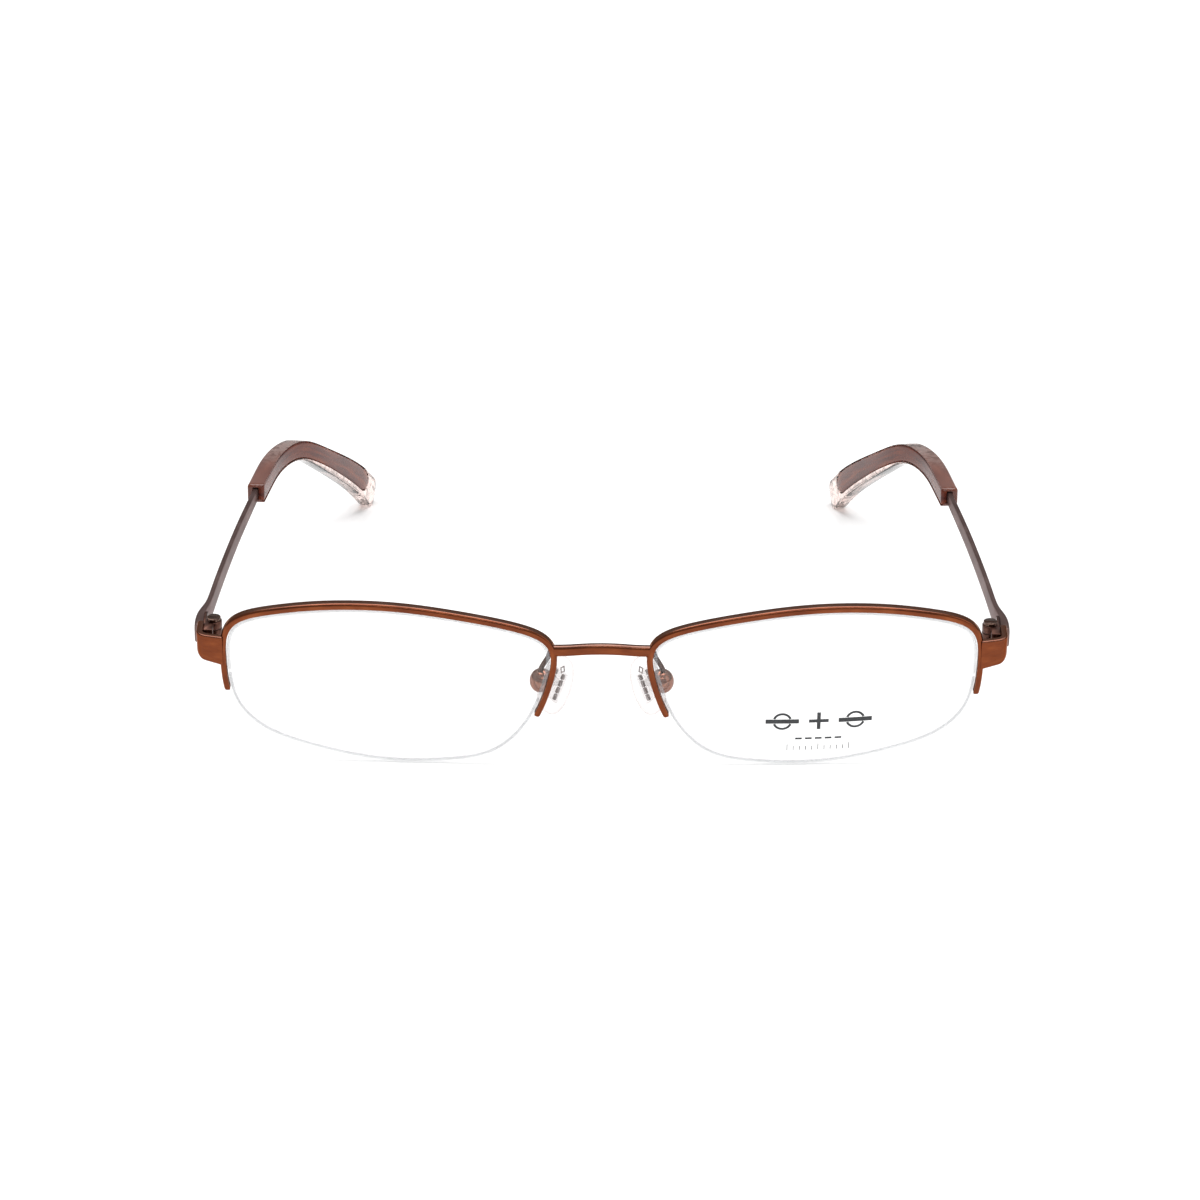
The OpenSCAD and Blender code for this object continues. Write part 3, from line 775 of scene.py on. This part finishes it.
liner_low, liner_high = -GROOVE_DEPTH + 0.02, RIM_GAP + CHANNEL_DEPTH - 0.02
liner_section = [
    (b, a + (liner_low + liner_high) / 2)
    for b, a in superellipse((0.46, liner_high - liner_low), 0.6, 14)
]
both(
    "liner_strip", edge_bar(liner_section, NASAL_END + 0.5, TEMPORAL_END + TURN - 0.5),
    "front", nylon_strip, "lens_liner")
cord_section = [(b, a - GROOVE_DEPTH + 0.27) for b, a in superellipse((0.5, 0.5), 1, 14)]
both(
    "cord_line", edge_bar(cord_section, TEMPORAL_END - 0.4, NASAL_END + 0.4),
    "front", nylon_cord, "nylon_cord")


# ---- Fitting marks on the wearer's left lens, in place of the display print ----

def mark_plate(outline_rows):
    """A thin printed patch: rows of (x, w) points laid on the front of the lens."""
    rows, columns = len(outline_rows), len(outline_rows[0])
    verts, faces = [], []
    for radius in (LENS_RADIUS + 0.006, LENS_RADIUS + 0.026):
        for row in outline_rows:
            for x, w in row:
                verts.append(front_point(x, sphere_depth(x, w, radius), w))
    layer = rows * columns
    for r in range(rows - 1):
        for c in range(columns - 1):
            a, b = r * columns + c, (r + 1) * columns + c
            faces.append((a, b, b + 1, a + 1))
            faces.append((layer + a, layer + a + 1, layer + b + 1, layer + b))
    rim = [c for c in range(columns)]
    rim += [r * columns + columns - 1 for r in range(1, rows)]
    rim += [(rows - 1) * columns + c for c in range(columns - 2, -1, -1)]
    rim += [r * columns for r in range(rows - 2, 0, -1)]
    for a, b in zip(rim, rim[1:] + rim[:1]):
        faces.append((a, b, layer + b, layer + a))
    return verts, faces


def bar_rows(x0, x1, w0, w1):
    columns = max(2, round((x1 - x0) / 0.5) + 1)
    return [
        [(x0 + (x1 - x0) * c / (columns - 1), w) for c in range(columns)] for w in (w0, w1)
    ]


def arc_rows(cx, cw, radius, width, start, stop):
    steps = max(6, round(abs(stop - start) / 10))
    angles = [math.radians(start + (stop - start) * k / steps) for k in range(steps + 1)]
    return [
        [(cx + r * math.cos(a), cw + r * math.sin(a)) for a in angles]
        for r in (radius + width, radius)
    ]


def fitting_marks():
    middle = 35.0
    plates = [
        bar_rows(middle - 8.6, middle - 3.2, 8.1, 8.9),
        bar_rows(middle + 3.2, middle + 8.6, 8.1, 8.9),
        bar_rows(middle - 1.6, middle - 0.3, 8.2, 8.8),
        bar_rows(middle + 0.3, middle + 1.6, 8.2, 8.8),
        bar_rows(middle - 0.3, middle + 0.3, 6.9, 10.1),
        arc_rows(middle - 5.9, 8.5, 1.2, 0.4, 20, 160),
        arc_rows(middle + 5.9, 8.5, 1.2, 0.4, 20, 160),
        arc_rows(middle - 5.9, 8.5, 1.2, 0.4, 200, 340),
        arc_rows(middle + 5.9, 8.5, 1.2, 0.4, 200, 340),
    ]
    plates += [bar_rows(middle + x - 0.55, middle + x + 0.55, 5.0, 5.35) for x in (-3.2, -1.6, 0, 1.6, 3.2)]
    plates += [
        bar_rows(middle - 5 + k - 0.06, middle - 5 + k + 0.06, 2.9, 3.7 if k % 5 else 4.1)
        for k in range(11)
    ]
    verts, faces = [], []
    for plate in plates:
        v, f = mark_plate(plate)
        faces += [tuple(i + len(verts) for i in face) for face in f]
        verts += v
    return {"verts": verts, "faces": faces}


piece("fitting_marks", fitting_marks(), "left", "front", ink)


# ---- Nose pads ----

def pad_arm():
    """A wire from the back of the rim that loops back and comes down to the pad box."""
    root = edge_offset(14.72, RIM_GAP + RIM_HEIGHT / 2, RIM_DEPTH / 2 - 0.15)
    pin = PAD_PIN
    path = [
        root, root + (0, 1.2, 0.15), root + (0.1, 2.6, 0.3), root + (0.6, 4.4, -0.4),
        root + (0.9, 5.7, -2.2), pin + (-0.05, -0.5, 2.4), pin + (0, -0.35, 1.4),
    ]
    last = len(path) - 1
    rings = []
    for k in range(last * 9 + 1):
        t = k / 9
        p = open_spline(path, t)
        d = unit(open_spline(path, min(t + 0.05, last)) - open_spline(path, max(t - 0.05, 0)))
        n = unit(np.cross(d, (1, 0, 0)))
        m = np.cross(n, d)
        radius = 0.42 + 0.12 * smooth(1 - t / 0.8)
        rings.append([
            p + a * radius * 2 * m + b * radius * 2 * n for a, b in superellipse((1, 1), 1, 18)
        ])
    return skin(rings)


def pad_box():
    """A round cup with a domed back and a rolled lip, open towards the nose."""
    r, lip, bore, floor = 2.0, 0.9, 1.15, -0.95
    profile = [(0.02, -1.5)]
    for k in range(1, 13):
        a = math.radians(7.5 * k)
        profile.append((r * math.sin(a), -1.5 * math.cos(a)))
    profile += [(r, lip - 0.25), (r - 0.04, lip - 0.1), (r - 0.15, lip - 0.02), (r - 0.3, lip)]
    profile += [(bore + 0.15, lip), (bore + 0.04, lip - 0.04), (bore, lip - 0.15)]
    profile += [(bore, floor + 0.1), (bore - 0.1, floor), (0.02, floor)]
    rings = []
    for radius, z in profile:
        rings.append([
            pad_point(radius * math.cos(a), radius * math.sin(a), z)
            for a in [2 * math.pi * k / 48 for k in range(48)]
        ])
    return skin(rings)


def pad_insert():
    """The plate moulded into the pad, pierced by two rows of slots."""
    xs = [-1.7, -1.2, -0.75, 0.75, 1.2, 1.7]
    ys = [-2.6, -2.3, -1.3, -1.05, -0.05, 0.2, 1.2, 1.45, 2.3, 2.6]
    thick = 0.45
    holes = {(c, r) for c in (1, 3) for r in (1, 3, 5, 7)}
    bm = bmesh.new()
    grid, walls = {}, set()

    def corner(c, r, layer):
        key = (c, r, layer)
        if key not in grid:
            z = PAD_OFFSET + (thick / 2 if layer else -thick / 2)
            grid[key] = bm.verts.new(pad_point(xs[c], ys[r] - PAD_DROP, z))
        return grid[key]

    def solid(c, r):
        return 0 <= c < len(xs) - 1 and 0 <= r < len(ys) - 1 and (c, r) not in holes

    for c in range(len(xs) - 1):
        for r in range(len(ys) - 1):
            if not solid(c, r):
                continue
            a = [(c, r), (c + 1, r), (c + 1, r + 1), (c, r + 1)]
            bm.faces.new([corner(*p, 1) for p in a])
            bm.faces.new([corner(*p, 0) for p in reversed(a)])
            for (p, q), beside in zip(
                zip(a, a[1:] + a[:1]), [(c, r - 1), (c + 1, r), (c, r + 1), (c - 1, r)]
            ):
                if not solid(*beside):
                    wall = bm.faces.new(
                        [corner(*q, 1), corner(*p, 1), corner(*p, 0), corner(*q, 0)])
                    if beside in holes:
                        walls.add(wall)
    bmesh.ops.recalc_face_normals(bm, faces=bm.faces)
    bm.verts.index_update()
    verts = [np.array(v.co) for v in bm.verts]
    faces = [tuple(v.index for v in f.verts) for f in bm.faces]
    kinds = [1 if f in walls else 0 for f in bm.faces]
    bm.free()
    return {"verts": verts, "faces": faces, "kinds": kinds}


def pad_diamond():
    """A small raised diamond frame near the top of the insert."""
    verts, faces = [], []
    for z in (0.24, 0.36):
        for size in (0.62, 0.4):
            for x, y in ((size, 0), (0, size * 1.2), (-size, 0), (0, -size * 1.2)):
                verts.append(pad_point(x, y + 2.75 - PAD_DROP, PAD_OFFSET + z))
    for k in range(4):
        j = (k + 1) % 4
        faces += [
            (k, 4 + k, 4 + j, j), (8 + k, 8 + j, 12 + j, 12 + k),
            (k, j, 8 + j, 8 + k), (4 + k, 12 + k, 12 + j, 4 + j),
        ]
    return {"verts": verts, "faces": faces}


def pad_stem():
    """The stem that swings on the pin, with a round eye at its end."""
    rings = []
    for x, inset in ((-0.75, 0.1), (-0.72, 0.03), (-0.65, 0), (0.65, 0), (0.72, 0.03), (0.75, 0.1)):
        outline = [
            ((0.75 - inset) * math.cos(math.radians(a)), (0.75 - inset) * math.sin(math.radians(a)))
            for a in range(160, 381, 20)
        ]
        half = 0.55 - inset
        outline += [(half, 1.2), (half, PAD_OFFSET - 0.1), (-half, PAD_OFFSET - 0.1), (-half, 1.2)]
        rings.append([pad_point(x, y, z) for y, z in outline])
    return skin(rings)


def nose_pad():
    """Soft teardrop pillow, fuller at the bottom, with a flatter side towards the stem."""
    rings = []
    for k in range(29):
        a = math.radians(4 + 172 * k / 28)
        y = -5.0 * math.cos(a) / math.cos(math.radians(4))
        swell = math.sin(a) ** 0.7
        wide, thick = 7.0 * (1 - 0.012 * y) * swell, 2.8 * swell ** 0.8
        ring = []
        for up, out in superellipse((1, 1), 0.82, 32):
            bulge = up * thick * (0.82 if up < 0 else 1.0)
            ring.append(pad_point(out * wide, y - PAD_DROP, PAD_OFFSET + bulge))
        rings.append(ring)
    return skin(rings)


both("pad_wire", pad_arm(), "front", wire_metal, "pad_arm")
both("pad_cup", pad_box(), "front", box_metal, "pad_box", 50)
# The insert's slot walls take the darker painted shade grey; its faces stay pale and see-through.
both(
    "pad_insert_plate", pad_insert(), "SIDE_pad_body", [insert, insert_shade],
    "pad_core", 30)
# The raised diamond takes the same painted shade grey.
both("pad_insert_diamond", pad_diamond(), "SIDE_pad_body", insert_shade)
both("pad_insert_stem", pad_stem(), "SIDE_pad_body", insert)
both("pad_pillow", nose_pad(), "SIDE_pad_body", silicone, "nose_pad", 60)


# ---- Temples ----

PLATE, ARM, THIN = 3.6, 3.0, 0.9
TEMPLE_LINE = [
    (65.4, 8.1, 19.5, 1.4, PLATE - 0.2, 9), (65.5, 10, 19.6, 1.43, PLATE, 9),
    (65.4, 13, 19.7, 1.4, PLATE + 0.1, 6), (64.9, 16, 19.8, 1.1, ARM + 0.5, 2),
    (64.5, 19, 20, THIN, ARM, 0), (64.2, 27, 20.3, THIN, ARM, 0),
    (63.45, 40, 20.8, THIN, ARM - 0.2, 0), (62.45, 54, 21.4, THIN, ARM - 0.4, 0),
    (61.15, 68, 22, THIN, ARM - 0.7, 0), (60.3, 78, 22.2, THIN, 1.8, 0),
    (59.2, 88, 22.7, THIN, 1.5, 0), (55.9, 96.3, 22.9, THIN, 1.5, 0),
    (52.8, 103.5, 18.7, THIN, 1.5, 0), (49.8, 113.5, 13.4, 0.8, 1.4, 0),
    (47.7, 120.5, 9.55, 0.7, 1.2, 0),
]
TIP_HEIGHT = 5.6
TIP_LINE = [
    (60.9, 71, 22.2, 3, 3.4), (60.3, 78, 22.2, 3.1, 3.3), (59.2, 88, 22.7, 3.1, 3.3),
    (55.9, 96.3, 22.9, 3, 3.5), (52.8, 103.5, 18.7, 2.9, 3.9), (49.8, 113.5, 13.4, 2.8, 4.6),
    (46.8, 123.5, 7.9, 2.7, TIP_HEIGHT - 0.4), (44.2, 133.1, 1.1, 2.6, TIP_HEIGHT),
]
TIP_END = len(TIP_LINE) - 1
TIP_ROUND = 0.27
FRONT_ROUND, FRONT_INSET = 0.09, 0.5
BROWN_STOP = TIP_END - 0.55
TINT_STOP, TINT_FADE = 1.0, 3.2
LAYER_SPLIT = 0.18


def line_ring(line, t, section, lean=0.0):
    """A ring across a line at place t; section points are (up, outwards) in millimetres."""
    row = open_spline(line, t)
    last = len(line) - 1
    ahead = open_spline(line, min(t + 0.05, last))[:3] - open_spline(line, max(t - 0.05, 0))[:3]
    d = unit(ahead)
    out = unit(np.cross(d, (0, 0, 1)))
    up = np.cross(out, d) - math.tan(math.radians(lean)) * d
    return [world_point(*(row[:3] + s[0] * up + s[1] * out)) for s in section]


def temple():
    """Metal arm: a tall plate at the hinge, a slim arm, and the wire that runs on in the tip."""
    last = len(TEMPLE_LINE) - 1
    rings = []
    for t, inset in stations(0, last, 1 / 9, 2.0, 11.0, 0.18):
        row = open_spline(TEMPLE_LINE, t)
        section = superellipse((row[4] - 2 * inset, row[3] - 2 * inset), 0.32, 32)
        rings.append(line_ring(TEMPLE_LINE, t, section, row[5]))
    return skin(rings)


def end_share(t, stop):
    """Share of the full height left at place t, where the end is rounded off before stop."""
    over = max(0.0, t - (stop - TIP_ROUND)) / TIP_ROUND
    return math.sqrt(max(0.004, 1 - over * over))


def tip_sizes(t):
    """(height, thickness, top flange, bottom flange) of the tip at place t.

    The flanges are what the clear layer shows above and below the brown one."""
    row = open_spline(TIP_LINE, t)
    height, thick = row[4] * end_share(t, TIP_END), row[3]
    low_flange = 0.1 + 0.85 * smooth((t - 2.4) / 2.4)
    high_flange = 0.05
    free = height - low_flange - high_flange
    brown = free * end_share(min(t, BROWN_STOP), BROWN_STOP) if t < BROWN_STOP else 0.06
    spare = free - brown
    return height, thick, high_flange + spare * 0.45, low_flange + spare * 0.55


def tip_places(stop, start_round=FRONT_ROUND):
    head = [start_round * k for k in (0.0, 0.05, 0.15, 0.3, 0.5, 0.75, 1.0)]
    body_stop = stop - TIP_ROUND
    count = round((body_stop - start_round) * 8)
    body = [start_round + (body_stop - start_round) * k / count for k in range(1, count + 1)]
    tail = [body_stop + TIP_ROUND * math.sin(math.radians(a)) for a in range(8, 89, 8)]
    return head + body + tail


def front_inset(t):
    """Rounds the tip's front end over the first part of its length."""
    short = 1 - min(1.0, t / FRONT_ROUND)
    return FRONT_INSET * (1 - math.sqrt(max(0.0, 1 - short ** 2)))


def tip_inner():
    """Brown layer on the head side, open at its front round the metal arm."""
    rings = []
    wire_way = superellipse((2.3, 1.05), 0.4, 20)
    rings.append(line_ring(TIP_LINE, 0.14, [(u * 0.9, o * 0.9) for u, o in wire_way]))
    rings.append(line_ring(TIP_LINE, 0.02, wire_way))
    for t in tip_places(BROWN_STOP):
        height, thick, high, low = tip_sizes(t)
        inset = front_inset(t)
        top, bottom = height / 2 - high - 0.02 - inset, -height / 2 + low + 0.02 + inset
        inner, outer = -thick / 2 + inset, LAYER_SPLIT * thick - 0.02 - 0.3 * inset
        radius = min(0.6, 0.45 * (top - bottom), 0.45 * (outer - inner))
        small = min(0.06, radius)
        box = round_rect((bottom, inner), (top, outer), (small, small, radius, radius))
        rings.append(line_ring(TIP_LINE, t, box))
    return skin(rings)


def tip_outer():
    """Clear layer: a slab on the outside that also shows under the brown one and past its end."""
    rings, tones = [], []
    places = sorted(set(tip_places(TIP_END) + [BROWN_STOP - 0.02 * k for k in range(8)]
                        + [BROWN_STOP + 0.006]))
    places = [t for i, t in enumerate(places) if i == 0 or t - places[i - 1] > 0.0015]
    for t in places:
        height, thick, high, low = tip_sizes(t)
        inset = front_inset(t)
        past = t > BROWN_STOP
        h, w0, w1 = height / 2 - inset, -thick / 2 + inset, thick / 2 - inset
        end = 1 - 0.5 * (1 - end_share(t, TIP_END))
        w0, w1 = w0 * end, w1 * end
        r1, r2 = min(0.34, 0.8 * high, 0.45 * h), min(0.34, 0.8 * low, 0.45 * h)
        r_out = min(0.6, 0.45 * h, w1 - LAYER_SPLIT * thick - 0.03)
        depth = w0 + 0.02 if past else LAYER_SPLIT * thick
        lip_top, lip_low = h - high, -h + low
        if lip_top - lip_low < 0.05:
            lip_top, lip_low = (lip_top + lip_low) / 2 + 0.025, (lip_top + lip_low) / 2 - 0.025
        ring = corner_arc((h - r1, w0 + r1), r1, 270)
        ring += corner_arc((h - r_out, w1 - r_out), r_out, 0)
        ring += corner_arc((-h + r_out, w1 - r_out), r_out, 90)
        ring += corner_arc((-h + r2, w0 + r2), r2, 180)
        ring += [(lip_low, w0), (lip_low, depth), (lip_top, depth), (lip_top, w0)]
        rings.append(line_ring(TIP_LINE, t, ring))
        tones += [smooth((t - TINT_STOP) / TINT_FADE)] * len(ring)
    return skin(rings, tones)


both("temple_arm", temple(), "SIDE_temple_body", bronze_metal, "temple")
both("tip_brown", tip_inner(), "SIDE_temple_body", tip_brown, "tip_inner_layer", 45)
both("tip_clear", tip_outer(), "SIDE_temple_body", tip_clear, "tip_clear_layer", 45)


# ---- Kept CAD nodes: hinges, screws and pad pins get softened edges and their finish ----

def finish_node(name, material, bevel):
    obj = frame["nodes"][name]
    obj.data.materials.clear()
    obj.data.materials.append(material)
    obj.data.polygons.foreach_set("use_smooth", [True] * len(obj.data.polygons))
    weld = obj.modifiers.new("weld", "WELD")
    weld.merge_threshold = 0.002 * MM
    edge = obj.modifiers.new("edges", "BEVEL")
    edge.width = bevel * MM
    edge.segments = 3
    edge.limit_method = "ANGLE"
    edge.angle_limit = math.radians(35)
    edge.harden_normals = True


for side in SIDES:
    finish_node(f"{side}_hinge_front_leaf", hinge_metal, 0.12)
    finish_node(f"{side}_hinge_temple_leaf", hinge_metal, 0.12)
    finish_node(f"{side}_hinge_screw", screw_steel, 0.05)
    finish_node(f"{side}_pad_pin", screw_steel, 0.05)


# ---- Floor, lights and camera ----

def floor():
    n = Nodes("studio_floor")
    paper = n.noise(n.place(0.02), detail=3, roughness=0.5)
    color = n.ramp(paper, "Fac", [(0.3, (0.93, 0.93, 0.93, 1)), (0.7, (0.96, 0.96, 0.96, 1))])
    n.join(color, "Color", n.shader, "Base Color")
    n.set(Roughness=0.9)
    n.shader.inputs["Specular IOR Level"].default_value = 0.1
    mesh = bpy.data.meshes.new("floor")
    half = 4.0
    mesh.from_pydata(
        [(-half, -half, 0), (half, -half, 0), (half, half, 0), (-half, half, 0)], [], [(0, 1, 2, 3)])
    mesh.materials.append(n.material)
    obj = bpy.data.objects.new("floor", mesh)
    obj.location.z = -0.00003
    bpy.context.scene.collection.objects.link(obj)


def area_light(name, location, size, power, target=(0, 0, 0.01), color=(1, 1, 1)):
    data = bpy.data.lights.new(name, "AREA")
    data.shape = "RECTANGLE"
    data.size, data.size_y = size
    data.energy = power
    data.color = color
    obj = bpy.data.objects.new(name, data)
    obj.location = location
    obj.rotation_mode = "QUATERNION"
    obj.rotation_quaternion = (Vector(target) - Vector(location)).to_track_quat("-Z", "Y")
    bpy.context.scene.collection.objects.link(obj)


def studio():
    world = bpy.data.worlds.new("studio")
    world.use_nodes = True
    background = world.node_tree.nodes["Background"]
    background.inputs["Color"].default_value = (1, 1, 1, 1)
    background.inputs["Strength"].default_value = 0.4
    bpy.context.scene.world = world
    area_light("overhead", (0.0, 0.15, 1.3), (1.7, 1.1), 22)
    area_light("right_card", (1.1, -0.3, 0.5), (0.5, 0.7), 1.6)
    area_light("front_strip", (0.15, -0.95, 0.85), (1.1, 0.12), 2.4)
    view = bpy.context.scene.view_settings
    view.view_transform = "Standard"
    view.look = "None"
    view.exposure = 0.0


def camera():
    """The product shot's view: a long lens, looking a little down at the front."""
    distance, elevation, roll = 0.7, math.radians(20.02), math.radians(0.32)
    target = Vector((-0.36 * MM, FRONT_Y * MM, 28.59 * MM))
    ahead = Vector((0, math.cos(elevation), -math.sin(elevation)))
    right = Vector((1, 0, 0))
    up = right.cross(ahead)
    x = math.cos(roll) * right + math.sin(roll) * up
    y = -math.sin(roll) * right + math.cos(roll) * up
    data = bpy.data.cameras.new("camera")
    data.sensor_width = 36.0
    data.lens = 131.45
    data.clip_start, data.clip_end = 0.01, 50.0
    obj = bpy.data.objects.new("camera", data)
    rotation = Matrix((x, y, -ahead)).transposed().to_4x4()
    obj.matrix_world = Matrix.Translation(target - distance * ahead) @ rotation
    bpy.context.scene.collection.objects.link(obj)
    bpy.context.scene.camera = obj


floor()
studio()
camera()
